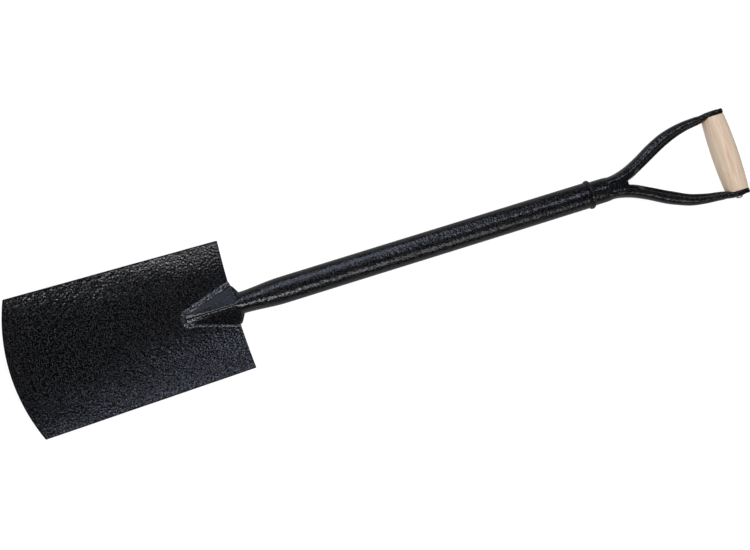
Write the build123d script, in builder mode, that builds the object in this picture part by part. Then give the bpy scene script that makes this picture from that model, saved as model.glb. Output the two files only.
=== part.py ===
"""An all-steel digging spade with a wooden grip, lying on its back.

+X runs along the shaft from the cutting edge to the handle, +Z is up and the
hollow front of the blade faces it. The origin is on the floor, under the middle
of the spade. All lengths are in millimetres.
"""

import os
from math import asin, cos, degrees, radians, sin, sqrt

from build123d import *

# Overall layout
overall_length = 1000
grip_diameter = 36
grip_to_crotch = 145
grip_to_shaft_end = 201.5
grip_to_tread = 693.5

# Blade: one dished sheet, raised towards its cutting edge
sheet = 2.0
lift = radians(6)
tread_width = 168
cutting_width = 178
edge_bulge = 17
tread_dish = 15
cutting_dish = 11
tread_corner_radius = 1.5
spare = 12
trim_depth = 16
plan_reach = 40

# Shaft tube, pinched at its lower end and opened out into two ridged straps
shaft_radius = 17
shaft_wall = 1.2
pinch_length = 56
pinch_half_width = 14
strap_length = 66
shoulder_length = 12
strap_half_width = 26
strap_tip_half_width = 5.5
strap_tip_rise = 3.5
strap_tip_solid = 12
strap_wall = 2.0
strap_wall_side = 4.2
strap_dig = 3
socket_bead_radius = 2.6
socket_bead_outset = 1.5

# Handle: a tube split into two rolled arms that end in flat tabs
neck_radius = 15.75
arm_wall = 2.0
spigot_length = 45
collar_radius = 19
collar_bead_radius = 2.5
tab_inner = 53.1
tab_thickness = 7.2
tab_depth = 24
tab_corner_radius = 9
tab_reach = 16

# Each arm's stations: distance past the crotch, distance out from the axis,
# thickness across the arm, and depth from front to back
arm_stations = [
    (-42, 7.2, 15.6, 30),
    (-14, 8.0, 16.8, 28),
    (4, 12.4, 17.6, 25),
    (24, 21.3, 17.2, 21.5),
    (50, 34.6, 17.8, 19.5),
    (76, 45.4, 16.2, 19.5),
    (100, 50.9, 13.5, 21),
    (122, 53.4, 11.4, 22.5),
    (138, 56.2, 8.2, 23.5),
]
hollow_station_count = 8
neck_crease_start = 32
crotch_half_depth = 7
crotch_half_width = 12
crotch_bead_radius = 3.2
crotch_bead_depth = 17
weld_standoff = 1.0

# Grip and its rivet
grip_end_diameter = 31
grip_edge_round = 1.2
rivet_radius = 3.0
rivet_hole_radius = 3.1
rivet_head_radius = 4.6
rivet_head_height = 2.6
countersink_radius = 5.2
countersink_depth = 2.2

# The spade rests on its collar weld and on the back strap's heel.
axis_height = collar_radius
heel_depth = collar_radius

# Places along X that follow from the above
grip_x = overall_length / 2 - grip_diameter / 2
crotch_x = grip_x - grip_to_crotch
shaft_end_x = grip_x - grip_to_shaft_end
tread_x = grip_x - grip_to_tread
pinch_x = tread_x + pinch_length
blade_length = (tread_x + overall_length / 2) / cos(lift)


def across(x):
    """The plane square to the shaft at x, centred on its axis: right is +Y, up is +Z."""
    return Plane(origin=(x, 0, axis_height), x_dir=(0, 1, 0), z_dir=(1, 0, 0))


def across_blade(distance):
    """The plane square to the blade at a distance from the tread: right is +Y."""
    origin = (tread_x - distance * cos(lift), 0, axis_height + distance * sin(lift))
    return Plane(origin=origin, x_dir=(0, 1, 0), z_dir=(cos(lift), 0, -sin(lift)))


def dish_radius(distance):
    """The radius of the blade's hollow, which opens out towards the cutting edge."""
    share = distance / blade_length
    width = tread_width + share * (cutting_width - tread_width)
    depth = tread_dish + share * (cutting_dish - tread_dish)
    return (width**2 / 4 + depth**2) / (2 * depth)


def dish_rise(distance, side):
    """How far the dished sheet has risen at a distance from the tread and out from the middle."""
    radius = dish_radius(distance)
    return radius - sqrt(radius**2 - side**2)


def blade_point(distance, side, height):
    """The point at a height above the middle of the blade's sheet."""
    return across_blade(distance).from_local_coords(Vector(side, dish_rise(distance, side) + height, 0))


def dished_slab(low, high):
    """A slab with the blade's dish and spare width, from the tread on, between two heights off the sheet."""
    with BuildPart() as slab:
        for distance in (-spare, blade_length + spare):
            radius = dish_radius(distance)
            half_angle = degrees(asin((cutting_width / 2 + spare) / radius))
            with BuildSketch(across_blade(distance)):
                with BuildLine():
                    under = CenterArc((0, radius), radius - low, -90 - half_angle, 2 * half_angle)
                    over = CenterArc((0, radius), radius - high, -90 - half_angle, 2 * half_angle)
                    Line(under @ 0, over @ 0)
                    Line(under @ 1, over @ 1)
                make_face()
        loft(ruled=True)
        split(bisect_by=across_blade(0), keep=Keep.BOTTOM)
    return slab.part


def roof(facing, sections):
    """A ridged wedge through sections given as (x, half width at the foot, foot height, ridge height).

    Its sides run on past the foot, so that the blade's face can trim them.
    """
    with BuildPart() as wedge:
        for x, half_width, foot, ridge in sections:
            base = foot - facing * strap_dig
            half_base = half_width * (ridge - base) / (ridge - foot)
            with BuildSketch(across(x)):
                with BuildLine():
                    Polyline((-half_base, base), (half_base, base), (0, ridge), close=True)
                make_face()
        loft(ruled=True)
    return wedge.part


# Blade -------------------------------------------------------------------
sheet_slab = dished_slab(-sheet / 2, sheet / 2)
blade_plan = Plane(
    origin=(tread_x, 0, axis_height), x_dir=(-cos(lift), 0, sin(lift)), z_dir=(sin(lift), 0, cos(lift))
)

with BuildPart() as blade:
    add(sheet_slab)
    with BuildSketch(blade_plan):
        with BuildLine():
            side_length = blade_length - edge_bulge
            tread = Line((0, -tread_width / 2), (0, tread_width / 2))
            left = Line(tread @ 1, (side_length, cutting_width / 2))
            right = Line(tread @ 0, (side_length, -cutting_width / 2))
            ThreePointArc(left @ 1, (blade_length, 0), right @ 1)
        make_face()
    extrude(amount=plan_reach, both=True, mode=Mode.INTERSECT)
    short_edges = blade.edges().filter_by(lambda edge: edge.length < 2 * sheet)
    fillet(short_edges.group_by(Axis.X)[-1], radius=tread_corner_radius)
blade.part.label = "blade"

# Shaft tube --------------------------------------------------------------
shoulder_x = tread_x + shoulder_length
strap_tip_x = tread_x - strap_length
tip_middle = strap_length * sin(lift)
behind_front = dished_slab(-trim_depth, sheet / 2)
ahead_of_back = dished_slab(-sheet / 2, trim_depth)
shoulder_half_width = pinch_half_width - strap_wall


def strap_form(facing, crest, wall=0, wall_side=0, tip_solid=0):
    """The form of the front (1) or back (-1) strap, or its hollow when it is given walls.

    Its ridge stands the crest's distance from the shaft's axis at the tread.
    """
    face = facing * sheet / 2
    foot = face + dish_rise(0, strap_half_width)
    tip_foot = tip_middle + face
    tip_ridge = tip_foot + facing * strap_tip_rise
    tip_width = strap_tip_half_width - wall
    return roof(
        facing,
        [
            (shoulder_x - 2 * wall, shoulder_half_width - wall, foot, facing * (shaft_radius - wall)),
            (tread_x, strap_half_width - wall_side, foot, facing * (crest - wall)),
            (strap_tip_x + tip_solid, tip_width, tip_foot, tip_ridge),
        ],
    )


front_roof = strap_form(1, shaft_radius)
back_roof = strap_form(-1, heel_depth)
front_hollow = strap_form(1, shaft_radius, strap_wall, strap_wall_side, strap_tip_solid)
back_hollow = strap_form(-1, heel_depth, strap_wall, strap_wall_side, strap_tip_solid)

with BuildPart() as front_strap:
    add(front_roof)
    add(behind_front, mode=Mode.SUBTRACT)

with BuildPart() as back_strap:
    add(back_roof)
    add(ahead_of_back, mode=Mode.SUBTRACT)

with BuildPart() as shaft_tube:
    with BuildSketch(across(tread_x)):
        Ellipse(pinch_half_width, shaft_radius)
    with BuildSketch(across(pinch_x)):
        Circle(shaft_radius)
    loft()
    with BuildSketch(across(pinch_x)):
        Circle(shaft_radius)
    extrude(amount=shaft_end_x - pinch_x)
    add(front_strap.part)
    add(back_strap.part)
    with BuildSketch(across(tread_x)):
        Ellipse(pinch_half_width - shaft_wall, shaft_radius - shaft_wall)
    with BuildSketch(across(pinch_x)):
        Circle(shaft_radius - shaft_wall)
    loft(mode=Mode.SUBTRACT)
    with BuildSketch(across(pinch_x)):
        Circle(shaft_radius - shaft_wall)
    extrude(amount=shaft_end_x - pinch_x, mode=Mode.SUBTRACT)
    add(front_hollow, mode=Mode.SUBTRACT)
    add(back_hollow, mode=Mode.SUBTRACT)
shaft_tube.part.label = "shaft_tube"


# Socket welds ------------------------------------------------------------
def socket_bead(facing, sheet_side):
    """The bead round one strap's foot, trimmed to the blade's face and the strap."""
    height = facing * (sheet / 2 + socket_bead_radius / 4)
    wing = strap_half_width + socket_bead_outset
    tip = strap_tip_half_width + socket_bead_outset
    reach = strap_length + socket_bead_outset
    with BuildPart() as bead:
        with BuildLine() as route:
            FilletPolyline(
                blade_point(socket_bead_radius, -wing, height),
                blade_point(reach, -tip, height),
                blade_point(reach, tip, height),
                blade_point(socket_bead_radius, wing, height),
                radius=socket_bead_radius * 2,
            )
        with BuildSketch(Plane(origin=route.wire() @ 0, z_dir=route.wire() % 0)):
            Circle(socket_bead_radius)
        sweep()
        add(sheet_side, mode=Mode.SUBTRACT)
        add(shaft_tube.part, mode=Mode.SUBTRACT)
    return bead.part


with BuildPart() as front_socket_weld:
    add(socket_bead(1, behind_front))
front_socket_weld.part.label = "front_socket_weld"

with BuildPart() as rear_socket_weld:
    add(socket_bead(-1, ahead_of_back))
rear_socket_weld.part.label = "rear_socket_weld"

# Handle yoke -------------------------------------------------------------
with BuildLine() as arm_centre:
    Spline([(crotch_x + along, out, axis_height) for along, out, _, _ in arm_stations])
arm_edge = arm_centre.edge()
tab_outer = tab_inner + tab_thickness
spigot_x = shaft_end_x - spigot_length
crease_x = crotch_x - neck_crease_start
grip_centre = (grip_x, 0, axis_height)
grip_plane = Plane(origin=grip_centre)
grip_axis = Axis(grip_centre, (0, 1, 0))
tab_plane = Plane(origin=(grip_x, tab_inner, axis_height), x_dir=(1, 0, 0), z_dir=(0, 1, 0))


def squashed_tube(stations, wall):
    """One arm as far in as its wall: a tube squashed more and more towards the tab."""
    with BuildPart() as arm:
        for along, out, thickness, depth in stations:
            place = Vector(crotch_x + along, out, axis_height)
            heading = arm_edge.tangent_at(arm_edge.param_at_point(place))
            with BuildSketch(Plane(origin=place, x_dir=(0, 0, 1), z_dir=heading)):
                SlotOverall(depth - 2 * wall, thickness - 2 * wall)
        loft()
    return arm.part


arm_outside = squashed_tube(arm_stations, 0)
arm_inside = squashed_tube(arm_stations[:hollow_station_count], arm_wall)

with BuildPart() as arm:
    add(arm_outside)
    with BuildSketch(tab_plane) as tab:
        Rectangle(2 * tab_reach, tab_depth)
        fillet(tab.vertices().group_by(Axis.X)[-1], radius=tab_corner_radius)
    extrude(amount=tab_thickness)
    add(arm_inside, mode=Mode.SUBTRACT)

with BuildPart() as handle_yoke:
    with BuildSketch(across(spigot_x)):
        Circle(neck_radius)
    extrude(amount=crease_x - spigot_x)
    with BuildSketch(across(crease_x)):
        Circle(neck_radius)
    with BuildSketch(across(crotch_x)):
        Ellipse(crotch_half_width, crotch_half_depth)
    loft()
    add(arm.part)
    mirror(arm.part, about=Plane.XZ)
    with BuildSketch(across(spigot_x)):
        Circle(neck_radius - arm_wall)
    extrude(amount=crease_x - spigot_x, mode=Mode.SUBTRACT)
    # The tabs are pressed flat against the grip's ends.
    with BuildSketch(grip_plane):
        Rectangle(grip_end_diameter / 2 + grip_edge_round, 2 * tab_inner, align=(Align.MIN, Align.CENTER))
    revolve(axis=grip_axis, mode=Mode.SUBTRACT)
    # The rivet's hole, countersunk in the tab on the +Y side.
    with BuildSketch(grip_plane):
        with BuildLine():
            sink_edge = countersink_radius + rivet_hole_radius - rivet_radius
            Polyline(
                (0, -2 * tab_outer),
                (rivet_hole_radius, -2 * tab_outer),
                (rivet_hole_radius, tab_outer - countersink_depth),
                (sink_edge, tab_outer),
                (sink_edge, 2 * tab_outer),
                (0, 2 * tab_outer),
                close=True,
            )
        make_face()
    revolve(axis=grip_axis, mode=Mode.SUBTRACT)
handle_yoke.part.label = "handle_yoke"

# Welds of the handle -----------------------------------------------------
with BuildPart() as collar_weld:
    with BuildSketch(Plane(origin=(shaft_end_x, 0, axis_height), x_dir=(1, 0, 0), z_dir=(0, -1, 0))):
        with Locations((weld_standoff, collar_radius - collar_bead_radius)):
            Circle(collar_bead_radius)
        with Locations((-collar_bead_radius, 0)):
            Rectangle(collar_bead_radius, 2 * collar_radius, align=(Align.MIN, Align.MIN), mode=Mode.SUBTRACT)
    revolve(axis=Axis((0, 0, axis_height), (1, 0, 0)))
    add(handle_yoke.part, mode=Mode.SUBTRACT)
collar_weld.part.label = "collar_weld"

with BuildPart() as crotch_weld:
    with BuildSketch(Plane(origin=(crotch_x, 0, axis_height))):
        with Locations((weld_standoff, 0)):
            Circle(crotch_bead_radius)
    extrude(amount=crotch_bead_depth / 2, both=True)
    add(handle_yoke.part, mode=Mode.SUBTRACT)
crotch_weld.part.label = "crotch_weld"

# Grip and rivet ----------------------------------------------------------
with BuildPart() as grip:
    with BuildSketch(grip_plane) as grip_half:
        with BuildLine():
            end_radius = grip_end_diameter / 2
            foot = Line((rivet_hole_radius, -tab_inner), (end_radius, -tab_inner))
            belly = ThreePointArc(foot @ 1, (grip_diameter / 2, 0), (end_radius, tab_inner))
            Polyline(belly @ 1, (rivet_hole_radius, tab_inner), foot @ 0)
        make_face()
        fillet(grip_half.vertices().group_by(Axis.X)[-1], radius=grip_edge_round)
    revolve(axis=grip_axis)
grip.part.label = "grip"

with BuildPart() as grip_rivet:
    with BuildSketch(grip_plane):
        with BuildLine():
            head_top = (0, -tab_outer - rivet_head_height)
            head_rim = (rivet_head_radius, -tab_outer)
            TangentArc(head_top, head_rim, tangent=(1, 0))
            Polyline(
                head_rim,
                (rivet_radius, -tab_outer),
                (rivet_radius, tab_outer - countersink_depth),
                (countersink_radius, tab_outer),
                (0, tab_outer),
                head_top,
            )
        make_face()
    revolve(axis=grip_axis)
grip_rivet.part.label = "grip_rivet"

os.makedirs("parts", exist_ok=True)
pieces = [
    blade,
    shaft_tube,
    front_socket_weld,
    rear_socket_weld,
    collar_weld,
    handle_yoke,
    crotch_weld,
    grip,
    grip_rivet,
]
for piece in pieces:
    export_step(piece.part, f"parts/{piece.part.label}.step")
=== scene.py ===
"""The looks of an all-steel garden spade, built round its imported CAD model.

Metres, in the row's frame: +X along the shaft from the cutting edge to the handle,
+Y across, +Z up, with the spade lying on its back.
"""

from math import cos, pi, radians, sin, sqrt

import bpy
import numpy as np
from mathutils import Matrix, Vector


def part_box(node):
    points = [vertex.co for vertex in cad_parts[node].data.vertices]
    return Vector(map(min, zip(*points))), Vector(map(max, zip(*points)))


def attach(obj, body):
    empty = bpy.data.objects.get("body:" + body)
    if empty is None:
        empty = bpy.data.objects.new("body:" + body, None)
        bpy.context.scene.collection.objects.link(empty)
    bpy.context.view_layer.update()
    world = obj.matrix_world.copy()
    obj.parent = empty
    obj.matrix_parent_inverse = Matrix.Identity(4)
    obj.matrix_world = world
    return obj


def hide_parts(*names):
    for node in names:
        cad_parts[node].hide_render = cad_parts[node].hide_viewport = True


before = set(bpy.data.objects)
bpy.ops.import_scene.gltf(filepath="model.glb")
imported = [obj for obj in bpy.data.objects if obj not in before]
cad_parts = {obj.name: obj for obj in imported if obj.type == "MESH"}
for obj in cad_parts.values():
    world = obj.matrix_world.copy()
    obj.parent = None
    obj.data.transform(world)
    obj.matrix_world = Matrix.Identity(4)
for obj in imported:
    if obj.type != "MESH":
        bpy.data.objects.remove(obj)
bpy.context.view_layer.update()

MM = 0.001

# Places and sizes from the frame
blade_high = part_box("blade")[1]
tube_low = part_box("shaft_tube")[0]
yoke_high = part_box("handle_yoke")[1]
grip_low, grip_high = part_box("grip")
rivet_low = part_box("grip_rivet")[0]
collar_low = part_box("collar_weld")[0]

grip_x = (grip_low.x + grip_high.x) / 2
axis_z = (grip_low.z + grip_high.z) / 2
grip_half = (grip_high.y - grip_low.y) / 2
grip_belly = (grip_high.x - grip_low.x) / 2
tab_outer = yoke_high.y
collar_x = collar_low.x
strap_tip_x = tube_low.x
cutting_half = blade_high.y

# Sizes that the frame's boxes don't give
sheet = 2.0 * MM
lift = radians(6)
tread_x = grip_x - 693.5 * MM
crotch_x = grip_x - 145 * MM
tread_half = 84 * MM
edge_bulge = 17 * MM
tread_dish = 15 * MM
cutting_dish = 11 * MM
overall_half = 500 * MM
blade_length = (tread_x + overall_half) / cos(lift)
tube_radius = 17.45 * MM
pinch_half = 14 * MM
pinch_length = 56 * MM
strap_length = tread_x - strap_tip_x
neck_radius = 16.2 * MM


# Small helpers ------------------------------------------------------------
def smoothstep(t):
    """A soft rise from 0 to 1."""
    t = np.clip(t, 0, 1)
    return t * t * (3 - 2 * t)


def wobble(t, seed, scale, octaves=3):
    """A smooth random curve of about unit height along t."""
    local = np.random.default_rng(seed)
    total = np.zeros_like(np.asarray(t, float))
    for octave in range(octaves):
        phase = local.uniform(0, 2 * pi, 3)
        rate = (2**octave) * 2 * pi / scale
        stretch = local.uniform(0.7, 1.4, 3)
        for p, s in zip(phase, stretch):
            total = total + np.sin(t * rate * s + p) / (3 * 1.6**octave)
    return total


def mesh_object(name, vertices, faces):
    """A smooth-shaded mesh in the scene."""
    mesh = bpy.data.meshes.new(name)
    mesh.from_pydata([tuple(v) for v in vertices], [], faces)
    mesh.update()
    mesh.polygons.foreach_set("use_smooth", [True] * len(mesh.polygons))
    made = bpy.data.objects.new(name, mesh)
    bpy.context.scene.collection.objects.link(made)
    return made


def ring_faces(rows, columns, start=0):
    """Quads between closed rings of points, with a flat cap on each end."""
    faces = []
    for i in range(rows - 1):
        for j in range(columns):
            a = start + i * columns + j
            b = start + i * columns + (j + 1) % columns
            faces.append((a, b, b + columns, a + columns))
    faces.append(tuple(start + j for j in reversed(range(columns))))
    last = start + (rows - 1) * columns
    faces.append(tuple(last + j for j in range(columns)))
    return faces


class Shells:
    """Closed shells gathered into one mesh."""

    def __init__(self):
        self.vertices = []
        self.faces = []

    def add_rings(self, rings):
        """Adds one shell: a row of closed rings, capped at both ends."""
        rings = [np.asarray(r, float) for r in rings]
        start = len(self.vertices)
        for ring in rings:
            self.vertices.extend(ring.tolist())
        self.faces.extend(ring_faces(len(rings), len(rings[0]), start))


def apply_modifiers(made):
    """Bakes an object's modifiers into its mesh."""
    bpy.context.view_layer.update()
    graph = bpy.context.evaluated_depsgraph_get()
    final = bpy.data.meshes.new_from_object(made.evaluated_get(graph))
    old = made.data
    made.modifiers.clear()
    made.data = final
    bpy.data.meshes.remove(old)
    final.polygons.foreach_set("use_smooth", [True] * len(final.polygons))
    return made


def fused(name, shells, voxel, rounds):
    """One skin over several closed shells, with its creases softened."""
    made = mesh_object(name, shells.vertices, shells.faces)
    remesh = made.modifiers.new("skin", "REMESH")
    remesh.mode = "VOXEL"
    remesh.voxel_size = voxel
    remesh.use_smooth_shade = True
    soften = made.modifiers.new("soften", "SMOOTH")
    soften.factor = 0.5
    soften.iterations = rounds
    return apply_modifiers(made)


def reshape(made, move):
    """Moves every vertex by move(points), which gives the new points."""
    mesh = made.data
    points = np.zeros(len(mesh.vertices) * 3)
    mesh.vertices.foreach_get("co", points)
    mesh.vertices.foreach_set("co", move(points.reshape(-1, 3)).ravel())
    mesh.update()


def turns(count):
    """Evenly spaced angles round a circle."""
    return np.arange(count) * 2 * pi / count


def oval(half_width, half_height, power=2.0, count=64):
    """Points round a superellipse: (across, up)."""
    angle = turns(count)
    c, s = np.cos(angle), np.sin(angle)
    across = half_width * np.sign(c) * np.abs(c) ** (2 / power)
    up = half_height * np.sign(s) * np.abs(s) ** (2 / power)
    return across, up


def ring_at(x, half_width, half_height, power=2.0, count=64, centre_z=axis_z):
    """A ring square to the shaft."""
    across, up = oval(half_width, half_height, power, count)
    return np.column_stack([np.full(count, x), across, centre_z + up])


# Blade geometry -----------------------------------------------------------
def dish_radius(distance):
    """The radius of the blade's dish at a distance from the tread."""
    share = distance / blade_length
    width = 2 * (tread_half + share * (cutting_half - tread_half))
    depth = tread_dish + share * (cutting_dish - tread_dish)
    return (width**2 / 4 + depth**2) / (2 * depth)


def blade_points(distance, side, height):
    """Points at a height above the middle of the blade's sheet."""
    radius = dish_radius(distance)
    turn = np.arcsin(side / radius)
    rise = radius - (radius - height) * np.cos(turn)
    out = (radius - height) * np.sin(turn)
    return np.stack(
        [
            tread_x - distance * cos(lift) + rise * sin(lift),
            out,
            axis_z + distance * sin(lift) + rise * cos(lift),
        ],
        axis=-1,
    )


def blade_outline(s, t):
    """Distance from the tread and offset to the side for s along (0..1) and t across (-1..1)."""
    side_length = blade_length - edge_bulge
    edge_radius = (cutting_half**2 + edge_bulge**2) / (2 * edge_bulge)
    bulge = np.sqrt(edge_radius**2 - (t * cutting_half) ** 2) - (edge_radius - edge_bulge)
    distance = s * (side_length + bulge)
    share = np.minimum(distance / side_length, 1.0)
    half = tread_half + share * (cutting_half - tread_half)
    return distance, t * half


def make_blade():
    """The dished sheet as one closed shell, with slight dents and eased edges."""
    rows, columns = 150, 96
    top_side, under_side = 0, 1
    s = np.linspace(0, 1, rows)[:, None] * np.ones((1, columns))
    t = np.ones((rows, 1)) * np.linspace(-1, 1, columns)[None, :]
    distance, side = blade_outline(s, t)
    dents = 0.25 * MM * wobble(distance + side * 0.6, 11, 0.21, 2)
    dents += 0.18 * MM * wobble(side * 1.3 - distance * 0.4, 12, 0.13, 2)
    top = blade_points(distance, side, sheet / 2 + dents)
    bottom = blade_points(distance, side, -sheet / 2 + dents)
    vertices = np.vstack([top.reshape(-1, 3), bottom.reshape(-1, 3)])

    def at(i, j, level):
        return level * rows * columns + i * columns + j

    faces = []
    for i in range(rows - 1):
        for j in range(columns - 1):
            corners = [(i, j), (i, j + 1), (i + 1, j + 1), (i + 1, j)]
            faces.append(tuple(at(*c, top_side) for c in corners))
            corners = [(i, j), (i + 1, j), (i + 1, j + 1), (i, j + 1)]
            faces.append(tuple(at(*c, under_side) for c in corners))
    border = [(0, j) for j in range(columns)]
    border += [(i, columns - 1) for i in range(1, rows)]
    border += [(rows - 1, j) for j in range(columns - 2, -1, -1)]
    border += [(i, 0) for i in range(rows - 2, 0, -1)]
    for k, here in enumerate(border):
        there = border[(k + 1) % len(border)]
        near = (at(*here, top_side), at(*here, under_side))
        far = (at(*there, under_side), at(*there, top_side))
        faces.append(near + far)
    made = mesh_object("spade_blade", vertices, faces)
    bevel = made.modifiers.new("edges", "BEVEL")
    bevel.width = 0.45 * sheet
    bevel.segments = 3
    bevel.limit_method = "ANGLE"
    bevel.angle_limit = radians(50)
    return apply_modifiers(made)


# Shaft and its straps -----------------------------------------------------
strap_half = 25.6 * MM
strap_tip_half = 7.4 * MM
front_crest = 17.5 * MM
back_crest = 18.9 * MM
tip_crest = 3.2 * MM
socket_top_x = tread_x + pinch_length + 14 * MM
crown_top_x = tread_x + 60 * MM


def crest_height(facing, distance):
    """How far a strap's ridge stands from the shaft's axis, on the side that it faces."""
    start = front_crest if facing > 0 else back_crest
    if distance < 0:
        return start + (tube_radius - start) * min(1.0, -distance / (60 * MM))
    end = facing * strap_length * sin(lift) + sheet / 2 + tip_crest
    return start + distance / strap_length * (end - start)


def strap_profile():
    """Pairs of distance past the tread and half width, from a strap's shoulder to its tip."""
    shoulder = [(-10.0, 12.5), (-7.0, 18.0), (-4.0, 23.0), (-1.6, 25.6), (-0.6, 25.6)]
    profile = [(distance * MM, half * MM) for distance, half in shoulder]
    for k in range(9):
        distance = (0.6 + 8.2 * k) * MM
        share = distance / strap_length
        profile.append((distance, strap_half + share * (strap_tip_half - strap_half)))
    return profile


def strap_rings(facing):
    """Rings of the ridged strap on one face of the blade, from its shoulder to its tip."""
    ridge_half, ridge_drop = 1.5 * MM, 0.42 * MM
    belly = 0.35 * MM
    lip = 0.2 * MM
    rings = []
    for distance, half in strap_profile():
        dig = 4.0 * MM if distance < 0 else 1.3 * MM
        peak = crest_height(facing, distance)
        middle = max(distance, 0.0) * sin(lift)
        rise = half**2 / (2 * dish_radius(0.0))
        base = facing * (middle + rise) + sheet / 2
        low = facing * middle + sheet / 2
        facet = []
        for share in (0.3, 0.65):
            y = half - share * (half - ridge_half)
            climb = share * (peak - ridge_drop - base)
            facet.append((y, base + climb + belly * sin(pi * share)))
        points = [(-half, base - dig), (-half, base + lip)]
        points += [(-y, h) for y, h in facet]
        points += [(ridge_half * k / 3, peak - ridge_drop * (k / 3) ** 2) for k in range(-3, 4)]
        points += facet[::-1]
        points += [(half, base + lip), (half, base - dig), (0.0, low - dig)]
        x = tread_x - distance * cos(lift)
        rings.append([(x, y, axis_z + facing * h) for y, h in points])
    return rings


def make_tube():
    """The round part of the shaft, very slightly uneven."""
    count = 96
    angle = turns(count)
    end_x = socket_top_x - 6 * MM
    # The tube's end is tucked just under the pinched part's skin.
    places = [(end_x, tube_radius - 0.4 * MM), (end_x + 0.1 * MM, tube_radius)]
    places += [(x, tube_radius) for x in np.linspace(end_x + 0.2 * MM, collar_x - 1 * MM, 110)]
    rings = []
    for x, radius in places:
        ring = ring_at(x, radius, radius, 2.0, count)
        slight = 1 + 0.0022 * np.sin(2 * angle + 14 * x)
        slight += 0.0018 * np.sin(angle * 3 - 23 * x + 1)
        ring[:, 1] *= slight
        ring[:, 2] = axis_z + (ring[:, 2] - axis_z) * slight
        rings.append(ring)
    shells = Shells()
    shells.add_rings(rings)
    return mesh_object("shaft", shells.vertices, shells.faces)


def make_socket():
    """The pinched end of the tube and the two straps that it opens out into."""
    count = 96
    ease = 4 * MM
    tuck_length, tuck_depth = 8 * MM, 0.3 * MM
    rings = []
    for x in np.linspace(socket_top_x, tread_x + 7 * MM, 44):
        share = smoothstep((socket_top_x - ease - x) / (pinch_length + ease))
        half = tube_radius - share * (tube_radius - pinch_half)
        # Its upper end is tucked into the round tube.
        tuck = tuck_depth * smoothstep((x - socket_top_x + tuck_length) / tuck_length)
        ring = ring_at(x, half - tuck, tube_radius - tuck, 2.0 - 0.12 * share, count)
        # Pinching the sides makes the tube taller.
        crown = smoothstep((crown_top_x - x) / (crown_top_x - tread_x))
        taller = 1 + crown * (front_crest / tube_radius - 1)
        ring[:, 2] = axis_z + (ring[:, 2] - axis_z) * taller
        rings.append(ring)
    # Past the tread the tube's crown sinks into the straps' ridges.
    for distance, half in ((-1.0, 12.6), (5.0, 9.6), (11.0, 6.4), (18.0, 3.6), (26.0, 1.6)):
        front, back = (crest_height(facing, distance * MM) - 0.2 * MM for facing in (1, -1))
        centre = axis_z + (front - back) / 2
        x = tread_x - distance * MM
        rings.append(ring_at(x, half * MM, (front + back) / 2, 1.75, count, centre))
    shells = Shells()
    shells.add_rings(rings)
    shells.add_rings(strap_rings(1))
    shells.add_rings(strap_rings(-1))
    return fused("socket_and_straps", shells, 0.6 * MM, 5)


# Weld beads ---------------------------------------------------------------
def bead_rings(points, ups, widths, heights, seed):
    """Rings of a hand-laid bead along points, rippled like a row of tipped coins."""
    count, ripple, pitch = 20, 0.2, 3.4 * MM
    points = np.asarray(points, float)
    tangent = np.gradient(points, axis=0)
    tangent /= np.linalg.norm(tangent, axis=1)[:, None]
    run = np.concatenate([[0], np.cumsum(np.linalg.norm(np.diff(points, axis=0), axis=1))])
    uneven = wobble(run, seed, 0.016, 3)
    drift = wobble(run, seed + 1, 0.02, 2)
    phase = run / pitch + 0.35 * wobble(run, seed + 2, 0.02, 2)
    coin = np.abs(np.sin(pi * phase)) ** 0.6
    angle = turns(count)
    # The ripples lean along the bead.
    lean = -0.9 * MM * np.cos(angle) ** 2
    rings = []
    for i in range(len(points)):
        side = np.cross(tangent[i], ups[i])
        side /= np.linalg.norm(side)
        up = np.cross(side, tangent[i])
        swell = 1 + 0.13 * uneven[i] + ripple * (coin[i] - 0.6)
        ring = (
            points[i]
            + np.outer(np.cos(angle) * widths[i] * (1 + 0.08 * uneven[i]), side)
            + np.outer(np.sin(angle) * heights[i] * swell, up)
            + np.outer(lean, tangent[i])
            + side * drift[i] * 0.35 * MM
        )
        rings.append(ring)
    return rings


def socket_bead_path(facing, count):
    """The bead's line round one strap's foot: along one side, round the tip and back."""
    wing, tip = 28.4 * MM, 9.2 * MM
    reach = strap_length + 3.6 * MM
    start = -0.5 * MM
    corner = 9.4 * MM
    legs = int(count * 0.44)
    down = np.linspace(0, 1, legs)
    first = np.column_stack([start + down * (reach - corner - start), wing + down * (tip - wing)])
    turn = np.linspace(0, pi, count - 2 * legs + 2)[1:-1]
    bend = np.column_stack([reach - corner + np.sin(turn) * corner, np.cos(turn) * tip])
    last = first[::-1] * np.array([1, -1])
    plan = np.vstack([first, bend, last])
    height = facing * sheet / 2
    points = blade_points(plan[:, 0], plan[:, 1], height)
    above = blade_points(plan[:, 0], plan[:, 1], height + facing * MM)
    return points, above - points


def drop_rings(centre, size, seed):
    """A flattened, slightly rough ball of weld."""
    angle = turns(24)
    steps = 12
    rings = []
    for k in range(steps + 1):
        polar = -pi / 2 + pi * (0.04 + 0.92 * k / steps)
        r = size * cos(polar) * (1 + 0.08 * wobble(angle, seed + k, 2.0, 2))
        z = np.full(len(angle), 0.66 * size * sin(polar))
        rings.append(centre + np.column_stack([r * np.cos(angle), r * np.sin(angle), z]))
    return rings


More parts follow.
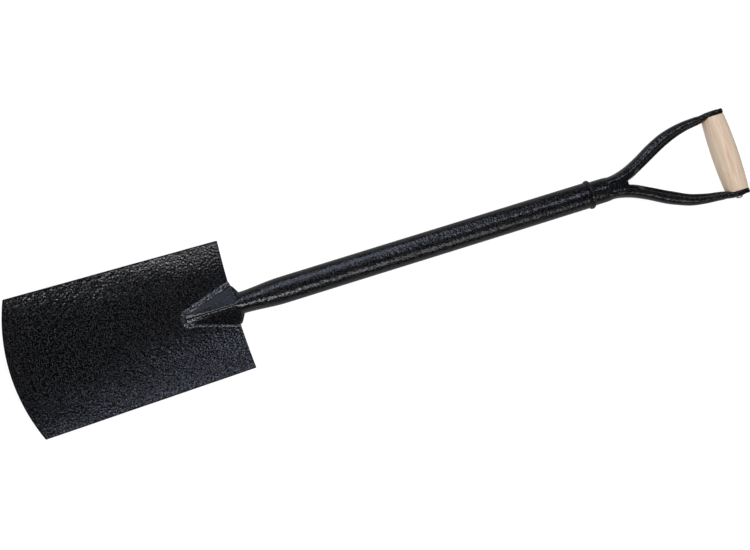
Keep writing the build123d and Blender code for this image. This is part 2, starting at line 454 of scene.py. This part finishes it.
def make_socket_bead(name, facing, seed, width, rise):
    """The bead round one strap's foot, with its last drops at the tip."""
    count = 240
    points, ups = socket_bead_path(facing, count)
    along = np.linspace(-1, 1, count)
    swell = np.exp(-((along / 0.07) ** 2))
    # The second leg was laid with a lighter hand.
    light = 1 - 0.58 * smoothstep((along - 0.10) / 0.16)
    widths = width * light * (1 + 0.25 * swell + 0.1 * wobble(along, seed + 5, 0.5, 2))
    heights = rise * light * (1 + 0.45 * swell)
    ends = np.minimum(1.0, (1 - np.abs(along)) / 0.03 + 0.35)
    shells = Shells()
    shells.add_rings(bead_rings(points, ups, widths * ends, heights * ends, seed))
    # The weld's last drops: millimetres past the strap's tip, to the side, and in radius.
    drops = [(1.0, 1.5, 4.6), (3.6, -1.2, 3.6), (-2.5, -3.6, 3.1)]
    for past_tip, side, size in drops:
        height = facing * (sheet / 2 + 0.2 * MM)
        centre = blade_points(strap_length + past_tip * MM, side * MM, height)
        shells.add_rings(drop_rings(centre, size * MM, seed))
    return fused(name, shells, 0.55 * MM, 2)


def make_collar_bead():
    """The uneven ring of weld where the handle enters the shaft."""
    count, across = 180, 20
    angle, section = turns(count), turns(across)
    ring_radius = 16.7 * MM
    uneven = wobble(angle, 31, 2 * pi / 3, 3)
    coins = np.abs(np.sin(angle * 17 + 0.5 * np.sin(3 * angle)))
    # The ring is lower underneath, where the spade rests on it.
    under = smoothstep((-np.sin(angle) - 0.55) / 0.4)
    high = (2.75 - 0.7 * under + 0.22 * uneven + 0.25 * (coins - 0.6)) * MM
    wide = (3.15 + 0.35 * wobble(angle, 33, pi, 3)) * MM
    middle = collar_x + (0.7 + 0.45 * wobble(angle, 35, pi, 2)) * MM
    vertices, faces = [], []
    for i, a in enumerate(angle):
        r = ring_radius + high[i] * np.sin(section)
        x = middle[i] + wide[i] * np.cos(section)
        vertices.extend(np.column_stack([x, r * np.cos(a), axis_z + r * np.sin(a)]).tolist())
        near, far = i * across, (i + 1) % count * across
        for j in range(across):
            m = (j + 1) % across
            faces.append((near + j, near + m, far + m, far + j))
    return mesh_object("collar_bead", vertices, faces)


# Handle yoke --------------------------------------------------------------
arm_table = [
    # Millimetres past the crotch, out from the axis, thickness and depth, and the section's power
    (-44, 6.0, 14.0, 25.0, 2.2),
    (-28, 6.9, 16.0, 28.6, 2.2),
    (-14, 8.0, 16.8, 28.2, 2.2),
    (4, 12.4, 17.6, 25.4, 2.2),
    (24, 21.3, 17.2, 22.0, 2.25),
    (50, 34.6, 17.8, 19.8, 2.25),
    (76, 45.4, 16.2, 19.8, 2.25),
    (100, 50.9, 13.7, 21.0, 2.4),
    (122, 53.4, 11.4, 22.5, 2.6),
    (138, 56.0, 8.6, 23.5, 3.0),
    (150, 56.7, 7.4, 24.0, 3.4),
]


def smooth_table(table, steps):
    """Catmull-Rom through the rows of a table, along its first column."""
    rows = np.asarray(table, float)
    smooth = []
    for x in np.linspace(rows[0, 0], rows[-1, 0], steps):
        k = int(np.clip(np.searchsorted(rows[:, 0], x) - 1, 0, len(rows) - 2))
        p0 = rows[max(k - 1, 0)]
        p1, p2 = rows[k], rows[k + 1]
        p3 = rows[min(k + 2, len(rows) - 1)]
        t = (x - p1[0]) / (p2[0] - p1[0])
        m1 = (p2 - p0) / max(p2[0] - p0[0], 1e-9) * (p2[0] - p1[0])
        m2 = (p3 - p1) / max(p3[0] - p1[0], 1e-9) * (p2[0] - p1[0])
        row = (
            (2 * t**3 - 3 * t**2 + 1) * p1
            + (t**3 - 2 * t**2 + t) * m1
            + (-2 * t**3 + 3 * t**2) * p2
            + (t**3 - t**2) * m2
        )
        row[0] = x
        smooth.append(row)
    return np.array(smooth)


def arm_rings(side):
    """Rings of one rolled arm, from inside the neck to inside its tab."""
    rows = smooth_table(arm_table, 90)
    x = crotch_x + rows[:, 0] * MM
    y = rows[:, 1] * MM
    slope = np.gradient(y, x)
    ledge_start, ledge_end = 6, 128
    ledge_depth, ledge_line = 0.46, -0.26
    rings = []
    for i, (past, _, thickness, depth, power) in enumerate(rows):
        tangent = np.array([1.0, slope[i], 0.0])
        tangent /= np.linalg.norm(tangent)
        normal = np.array([-tangent[1], tangent[0], 0.0])
        half = thickness / 2 * MM
        across, up = oval(half, depth / 2 * MM, power, 112)
        # The rolled tube's edge stands proud of the arm's inner side.
        shown = smoothstep((past - ledge_start) / 14) * smoothstep((ledge_end - past) / 14)
        up = up * (1 - ledge_depth * shown * smoothstep((ledge_line - across / half) / 0.13))
        centre = np.array([x[i], y[i], axis_z])
        ring = centre + np.outer(across, normal) + np.outer(up, [0, 0, 1])
        ring[:, 1] *= side
        rings.append(ring if side > 0 else ring[::-1])
    return rings


def tab_rings(side):
    """A flat tab with round corners, as rings from its inner face to its outer one."""
    thick = tab_outer - grip_half
    corner = 8.5 * MM
    low_x, high_x = grip_x - 12 * MM, yoke_high.x - 1.0 * MM
    half = 12 * MM
    outline = []
    for cx, cz, start in (
        (high_x - corner, half - corner, 0.0),
        (low_x + corner, half - corner, pi / 2),
        (low_x + corner, -half + corner, pi),
        (high_x - corner, -half + corner, 3 * pi / 2),
    ):
        for turn in np.linspace(start, start + pi / 2, 9):
            outline.append((cx + corner * cos(turn), cz + corner * sin(turn)))
    outline = np.array(outline)
    middle = outline.mean(axis=0)
    rings = []
    for depth, shrink in ((0.0, 0.93), (0.18, 1.0), (0.8, 1.0), (1.0, 0.9)):
        edge = middle + (outline - middle) * shrink
        y = np.full(len(edge), side * (grip_half + depth * thick))
        ring = np.column_stack([edge[:, 0], y, axis_z + edge[:, 1]])
        rings.append(ring[::-1] if side > 0 else ring)
    return rings


def neck_rings():
    """The round neck, which narrows and flattens to end inside the two arms."""
    count = 72
    fade_length = 34 * MM
    end_half, end_high = 12 * MM, 6.5 * MM
    rings = []
    for x in np.linspace(collar_x - 8 * MM, crotch_x - fade_length, 24):
        rings.append(ring_at(x, neck_radius, neck_radius, 2.0, count))
    for share in np.linspace(0.1, 1, 14):
        ease = 0.6 * smoothstep(share) + 0.4 * share
        half = neck_radius + ease * (end_half - neck_radius)
        high = neck_radius + ease * (end_high - neck_radius)
        rings.append(ring_at(crotch_x - (1 - share) * fade_length, half, high, 2.0, count))
    return rings


def uneven_pressing(points):
    """The pressed tabs and arms aren't quite even."""
    x, y, z = points.T
    tab_share = smoothstep((x - (crotch_x + 100 * MM)) / (40 * MM))
    outside = np.clip((np.abs(y) - grip_half) / (7 * MM), 0, 1)
    push = 0.55 * MM * wobble(x + z * 0.7, 41, 0.022, 2)
    sway = 0.25 * MM * wobble(x, 43, 0.06, 2) * smoothstep((x - crotch_x) / (30 * MM))
    return np.column_stack([x, y + np.sign(y) * push * tab_share * outside + sway, z])


def settle(points):
    """The bent arms have left the handle's end slightly askew."""
    x, y, z = points.T
    share = smoothstep((x - crotch_x) / (grip_x - crotch_x))
    return np.column_stack([x - 0.030 * y * share, y - 1.1 * MM * share, z])


def make_yoke():
    """One skin over the neck, the two arms and their tabs."""
    shells = Shells()
    shells.add_rings(neck_rings())
    for side in (1, -1):
        shells.add_rings(arm_rings(side))
        shells.add_rings(tab_rings(side))
    made = fused("handle_yoke_skin", shells, 0.7 * MM, 5)
    reshape(made, uneven_pressing)
    reshape(made, settle)
    return made


def make_crotch_bead():
    """The small saddle of weld between the arms."""
    half_length, half_width, reach = 3.6 * MM, 5.6 * MM, 8.2 * MM
    middle_x = crotch_x - 2.6 * MM
    angle = turns(32)
    rings = []
    for k, share in enumerate(np.linspace(-1, 1, 21)):
        up = share * reach
        thin = sqrt(1 - (abs(up) / (8.9 * MM)) ** 2.5)
        rough = thin * (1 + 0.06 * wobble(angle + k * 0.3, 51, 2.5, 2))
        x = middle_x + half_length * np.cos(angle) * rough
        y = half_width * np.sin(angle) * rough
        rings.append(np.column_stack([x, y, np.full(len(angle), axis_z + up)]))
    shells = Shells()
    shells.add_rings(rings)
    return fused("crotch_bead", shells, 0.6 * MM, 2)


# Grip and rivet -----------------------------------------------------------
def turned(name, rings):
    """A turned piece of the handle's end, which has settled with its arms."""
    shells = Shells()
    shells.add_rings(rings)
    made = mesh_object(name, shells.vertices, shells.faces)
    reshape(made, settle)
    return made


def make_grip():
    """The turned wooden barrel, with eased edges."""
    end_radius = 15.5 * MM
    bulge = grip_belly - end_radius
    belly_radius = (grip_half**2 + bulge**2) / (2 * bulge)
    edge = 1.1 * MM
    end = [(grip_half, 3.2 * MM), (grip_half, end_radius - 1.6 * MM)]
    for a in np.linspace(0, pi / 2, 5):
        end.append((grip_half - edge * (1 - cos(a)), end_radius - edge + edge * sin(a)))
    barrel_half = grip_half - edge - 1 * MM
    barrel = []
    for y in np.linspace(-barrel_half, barrel_half, 61):
        barrel.append((y, sqrt(belly_radius**2 - y**2) - belly_radius + grip_belly))
    profile = [(-y, r) for y, r in end] + barrel + end[::-1]
    angle = turns(96)
    rings = []
    for y, r in profile:
        uneven = 1 + 0.0015 * np.sin(2 * angle + 1) + 0.001 * np.sin(3 * angle + y * 40)
        x = grip_x + r * uneven * np.cos(angle)
        z = axis_z - r * uneven * np.sin(angle)
        rings.append(np.column_stack([x, np.full(len(angle), y), z]))
    return turned("wooden_grip", rings)


def make_rivet():
    """A long rivet with a hammered dome on the -Y side and a flush end on the other."""
    head = rivet_low.y - 0.7 * MM
    head_radius, shank_radius = 5.1 * MM, 3.0 * MM
    dome = -tab_outer - head
    profile = [(head + 0.02 * MM, 0.4 * MM)]
    for a in np.linspace(pi / 16, pi / 2, 8):
        profile.append((-tab_outer - dome * cos(a), head_radius * sin(a) ** 0.9))
    profile += [
        (-tab_outer + 0.5 * MM, head_radius),
        (-tab_outer + 1.5 * MM, shank_radius),
        (tab_outer - 2.2 * MM, shank_radius),
        (tab_outer - 0.1 * MM, head_radius),
        (tab_outer + 0.25 * MM, 4.7 * MM),
        (tab_outer + 0.45 * MM, 2.5 * MM),
        (tab_outer + 0.5 * MM, 0.3 * MM),
    ]
    angle = turns(48)
    rings = []
    for k, (y, r) in enumerate(profile):
        is_head = r > shank_radius + 0.2 * MM
        r = r * (1 + (0.035 * wobble(angle, 61, 2.2, 2) if is_head else 0))
        facet = 0.12 * MM * wobble(angle + k, 63, 2.0, 2) if y < -tab_outer else 0
        x = grip_x + r * np.cos(angle)
        z = axis_z - r * np.sin(angle)
        rings.append(np.column_stack([x, np.full(len(angle), y) + facet, z]))
    return turned("grip_rivet_head", rings)


# Materials ----------------------------------------------------------------
class Nodes:
    """A material and short ways to wire it."""

    def __init__(self, name):
        self.material = bpy.data.materials.new(name)
        self.material.use_nodes = True
        self.tree = self.material.node_tree
        self.shader = self.tree.nodes["Principled BSDF"]
        coordinates = self.tree.nodes.new("ShaderNodeTexCoord")
        self.place = coordinates.outputs["Object"]

    def link(self, out, into):
        self.tree.links.new(out, into)

    def stretched(self, scale):
        node = self.tree.nodes.new("ShaderNodeMapping")
        node.inputs["Scale"].default_value = scale
        self.link(self.place, node.inputs["Vector"])
        return node.outputs["Vector"]

    def noise(self, scale, detail=2.0, roughness=0.5, vector=None, distortion=0.0):
        node = self.tree.nodes.new("ShaderNodeTexNoise")
        node.inputs["Scale"].default_value = scale
        node.inputs["Detail"].default_value = detail
        node.inputs["Roughness"].default_value = roughness
        node.inputs["Distortion"].default_value = distortion
        self.link(vector or self.place, node.inputs["Vector"])
        return node.outputs["Fac"]

    def cells(self, scale, smoothness):
        node = self.tree.nodes.new("ShaderNodeTexVoronoi")
        node.feature = "SMOOTH_F1"
        node.inputs["Scale"].default_value = scale
        node.inputs["Smoothness"].default_value = smoothness
        self.link(self.place, node.inputs["Vector"])
        return node.outputs["Distance"]

    def along_shaft(self):
        node = self.tree.nodes.new("ShaderNodeSeparateXYZ")
        self.link(self.place, node.inputs["Vector"])
        return node.outputs["X"]

    def math(self, operation, *values):
        node = self.tree.nodes.new("ShaderNodeMath")
        node.operation = operation
        for socket, value in zip(node.inputs, values):
            if isinstance(value, (int, float)):
                socket.default_value = value
            else:
                self.link(value, socket)
        return node.outputs["Value"]

    def ramp(self, fac, stops):
        node = self.tree.nodes.new("ShaderNodeValToRGB")
        band = node.color_ramp
        while len(band.elements) < len(stops):
            band.elements.new(0.5)
        for element, (spot, colour) in zip(band.elements, stops):
            element.position = spot
            element.color = (*colour, 1.0)
        self.link(fac, node.inputs["Fac"])
        return node.outputs["Color"]

    def between(self, value, low, high):
        """Nothing below low, all above high, and a straight rise from one to the other."""
        node = self.tree.nodes.new("ShaderNodeMapRange")
        node.inputs["From Min"].default_value = low
        node.inputs["From Max"].default_value = high
        self.link(value, node.inputs["Value"])
        return node.outputs["Result"]

    def bump(self, height, strength, distance):
        node = self.tree.nodes.new("ShaderNodeBump")
        node.inputs["Strength"].default_value = strength
        node.inputs["Distance"].default_value = distance
        self.link(height, node.inputs["Height"])
        self.link(node.outputs["Normal"], self.shader.inputs["Normal"])


def grey(value, tint=(1.0, 1.0, 1.0)):
    """A brightness as a colour, with a slight tint."""
    return tuple(value * t for t in tint)


def paint(name, fleck_scale, fleck_shine, shown, depth, shine, calm_below=None):
    """Black hammertone paint: a dimpled gloss full of dark metallic flecks.

    Noise above shown makes a fleck, and depth is how deep the dimples go. Below calm_below
    along the shaft the paint lies smoother and shows fewer flecks.
    """
    under_tint, fleck_tint = (0.93, 0.97, 1.12), (0.96, 0.98, 1.06)
    under_shine, softness = 0.0025, 0.10
    m = Nodes(name)
    grains = m.noise(fleck_scale, 1.0, 0.6)
    lively = None
    if calm_below is not None:
        lively = m.between(m.along_shaft(), calm_below - 4 * MM, calm_below + 8 * MM)
        grains = m.math("ADD", grains, m.math("MULTIPLY_ADD", lively, 0.06, -0.06))
    flecks = m.between(grains, shown, shown + softness)
    cells = m.cells(fleck_scale * 0.55, 0.25)
    fine = m.noise(fleck_scale * 0.9, 2.0, 0.5)
    height = m.math("ADD", m.math("MULTIPLY", cells, 1.5), fine)
    if lively is not None:
        height = m.math("MULTIPLY", height, m.math("MULTIPLY_ADD", lively, 0.7, 0.3))
    m.bump(height, 1.0, depth)
    stops = [(0.0, grey(under_shine, under_tint)), (1.0, grey(fleck_shine, fleck_tint))]
    colour = m.ramp(flecks, stops)
    m.link(colour, m.shader.inputs["Base Color"])
    m.link(flecks, m.shader.inputs["Metallic"])
    rough = m.ramp(flecks, [(0.0, grey(shine)), (1.0, grey(shine + 0.10))])
    m.link(rough, m.shader.inputs["Roughness"])
    m.shader.inputs["IOR"].default_value = 1.5
    return m.material


def wood():
    """Pale turned ash with its grain along the grip."""
    m = Nodes("grip_wood_finish")
    along = m.stretched((1.0, 0.055, 1.0))
    streaks = m.noise(300.0, 4.0, 0.62, along, 0.3)
    pores = m.noise(1500.0, 2.0, 0.5, m.stretched((1.0, 0.04, 1.0)))
    clouds = m.noise(40.0, 3.0, 0.5, m.stretched((1.0, 0.3, 1.0)))
    marks = m.math("ADD", m.math("MULTIPLY", clouds, 0.28), m.math("MULTIPLY", pores, 0.12))
    mixed = m.math("ADD", m.math("MULTIPLY", streaks, 0.6), marks)
    stops = [
        (0.37, (0.49, 0.32, 0.21)),
        (0.45, (0.545, 0.405, 0.29)),
        (0.54, (0.59, 0.465, 0.35)),
        (0.65, (0.65, 0.55, 0.44)),
    ]
    colour = m.ramp(mixed, stops)
    m.link(colour, m.shader.inputs["Base Color"])
    rough = m.ramp(streaks, [(0.3, grey(0.62)), (0.7, grey(0.5))])
    m.link(rough, m.shader.inputs["Roughness"])
    m.bump(m.math("ADD", streaks, m.math("MULTIPLY", pores, 0.6)), 0.35, 0.25 * MM)
    return m.material


def rivet_steel():
    """Bare bright steel with fine marks."""
    tint = (1.0, 0.99, 0.96)
    m = Nodes("rivet_finish")
    marks = m.noise(700.0, 3.0, 0.6)
    colour = m.ramp(marks, [(0.3, grey(0.5, tint)), (0.7, grey(0.85, tint))])
    m.link(colour, m.shader.inputs["Base Color"])
    m.shader.inputs["Metallic"].default_value = 1.0
    m.link(m.ramp(marks, [(0.3, grey(0.42)), (0.7, grey(0.28))]), m.shader.inputs["Roughness"])
    m.bump(marks, 0.4, 0.2 * MM)
    return m.material


blade_paint = paint("blade_paint", 560.0, fleck_shine=0.10, shown=0.53, depth=0.20 * MM, shine=0.08)
tube_paint = paint(
    "tube_paint", 560.0, fleck_shine=0.085, shown=0.52, depth=0.20 * MM, shine=0.13, calm_below=tread_x
)
weld_paint = paint("weld_paint", 420.0, fleck_shine=0.20, shown=0.44, depth=0.10 * MM, shine=0.22)
wood_finish = wood()
rivet_finish = rivet_steel()


def place(made, material, slot, *nodes):
    """Gives a piece its look, hangs it on the root body and hides the CAD parts that it stands in for.
    """
    made.data.materials.clear()
    made.data.materials.append(material)
    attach(made, "root")
    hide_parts(*nodes)


place(make_blade(), blade_paint, "hammered_black_paint", "blade")
place(make_tube(), tube_paint, "hammered_black_paint", "shaft_tube")
place(make_socket(), tube_paint, "hammered_black_paint", "shaft_tube")
front_bead = make_socket_bead("front_socket_bead", 1, 71, 4.2 * MM, 2.9 * MM)
place(front_bead, weld_paint, "painted_weld", "front_socket_weld")
rear_bead = make_socket_bead("rear_socket_bead", -1, 81, 3.3 * MM, 2.8 * MM)
place(rear_bead, weld_paint, "painted_weld", "rear_socket_weld")
place(make_collar_bead(), tube_paint, "painted_weld", "collar_weld")
place(make_yoke(), tube_paint, "hammered_black_paint", "handle_yoke")
place(make_crotch_bead(), tube_paint, "painted_weld", "crotch_weld")
place(make_grip(), wood_finish, "grip_wood", "grip")
place(make_rivet(), rivet_finish, "rivet_steel", "grip_rivet")


# Studio -------------------------------------------------------------------
def make_floor():
    """A wide pale floor, which glows a little so that it stays even."""
    size = 6.0
    corners = [(-size, -size, 0), (size, -size, 0), (size, size, 0), (-size, size, 0)]
    made = mesh_object("floor", corners, [(0, 1, 2, 3)])
    m = Nodes("floor_finish")
    shade = m.ramp(m.noise(3.0), [(0.3, grey(0.30)), (0.7, grey(0.33))])
    m.link(shade, m.shader.inputs["Base Color"])
    m.shader.inputs["Roughness"].default_value = 0.9
    m.shader.inputs["Emission Color"].default_value = (1.0, 1.0, 1.0, 1.0)
    m.shader.inputs["Emission Strength"].default_value = 0.8
    made.data.materials.append(m.material)
    made.visible_glossy = False


def softbox(name, place_at, heading, width, height, power, colour=(1.0, 1.0, 1.0), shines=True):
    """A rectangular lamp aimed at the spade, with its width along a heading in the floor plan."""
    light = bpy.data.lights.new(name, "AREA")
    light.shape = "RECTANGLE"
    light.size = width
    light.size_y = height
    light.energy = power
    light.color = colour
    made = bpy.data.objects.new(name, light)
    back = Vector(place_at).normalized()
    along = Vector((cos(heading), sin(heading), 0.0))
    along = (along - along.dot(back) * back).normalized()
    turn = Matrix((along, back.cross(along), back)).transposed().to_4x4()
    made.matrix_world = Matrix.Translation(place_at) @ turn
    made.visible_glossy = shines
    bpy.context.scene.collection.objects.link(made)


def make_world():
    """Dim above the horizon and brighter below it, and nearly white where the camera sees it."""
    world = bpy.data.worlds.new("surroundings")
    world.use_nodes = True
    nodes, links = world.node_tree.nodes, world.node_tree.links
    lit = nodes["Background"]
    where = nodes.new("ShaderNodeTexCoord")
    split = nodes.new("ShaderNodeSeparateXYZ")
    links.new(where.outputs["Generated"], split.inputs["Vector"])
    # The height of a direction, from 0 straight down to 1 straight up.
    height = nodes.new("ShaderNodeMath")
    height.operation = "MULTIPLY_ADD"
    height.inputs[1].default_value = 0.5
    height.inputs[2].default_value = 0.5
    links.new(split.outputs["Z"], height.inputs[0])
    shade = nodes.new("ShaderNodeValToRGB")
    links.new(height.outputs["Value"], shade.inputs["Fac"])
    for element, (spot, glow) in zip(shade.color_ramp.elements, ((0.40, 0.34), (0.56, 0.022))):
        element.position = spot
        element.color = (glow, glow, glow, 1.0)
    links.new(shade.outputs["Color"], lit.inputs["Color"])
    seen = nodes.new("ShaderNodeBackground")
    seen.inputs["Color"].default_value = (0.93, 0.93, 0.93, 1.0)
    ray = nodes.new("ShaderNodeLightPath")
    pick = nodes.new("ShaderNodeMixShader")
    links.new(ray.outputs["Is Camera Ray"], pick.inputs["Fac"])
    links.new(lit.outputs["Background"], pick.inputs[1])
    links.new(seen.outputs["Background"], pick.inputs[2])
    links.new(pick.outputs["Shader"], nodes["World Output"].inputs["Surface"])
    bpy.context.scene.world = world
    bpy.context.scene.view_settings.view_transform = "Standard"


def make_camera():
    """Nearly straight above, leaning towards the blade's end, with the shaft rising to the right."""
    tilt = radians(10.21)
    roll = radians(17.33)
    distance = 1.94015
    target = Vector((-0.02689, -0.01691, axis_z))
    forward = Vector((sin(tilt), 0, -cos(tilt)))
    along = Vector((cos(tilt), 0, sin(tilt)))
    below = Vector((0, -1, 0))
    right = cos(roll) * along + sin(roll) * below
    down = -sin(roll) * along + cos(roll) * below
    data = bpy.data.cameras.new("camera")
    data.sensor_width = 36.0
    data.lens = 72.0
    camera = bpy.data.objects.new("camera", data)
    turn = Matrix((right, -down, -forward)).transposed().to_4x4()
    camera.matrix_world = Matrix.Translation(target - distance * forward) @ turn
    bpy.context.scene.collection.objects.link(camera)
    bpy.context.scene.camera = camera


make_floor()
cool, cold, pale = (0.86, 0.93, 1.16), (0.84, 0.92, 1.2), (0.88, 0.93, 1.15)
# Each lamp's place, heading, width, height and power
softbox("left_window", (0.22, 1.36, 1.00), 0.0, 0.5, 1.0, 3.3, cool)
softbox("left_strip", (0.85, 0.68, 1.75), radians(15), 0.9, 0.25, 2.8, cool)
softbox("right_strip", (0.48, -1.45, 1.50), radians(-52), 1.3, 0.50, 4.1)
softbox("near_window", (-0.22, -1.25, 1.42), 0.0, 0.42, 0.44, 5.0)
softbox("side_low", (-0.38, 1.62, 0.79), 0.0, 0.4, 0.5, 0.5, cold)
softbox("side_high", (-0.38, 1.16, 1.38), 0.0, 0.3, 0.55, 2.5, pale)
softbox("blade_card", (-0.12, 0.80, 1.57), 0.0, 0.15, 0.22, 0.32, cold)
softbox("flood", (0.0, 0.0, 2.4), 0.0, 3.0, 3.0, 78.0, shines=False)
make_world()
make_camera()

bpy.context.view_layer.update()
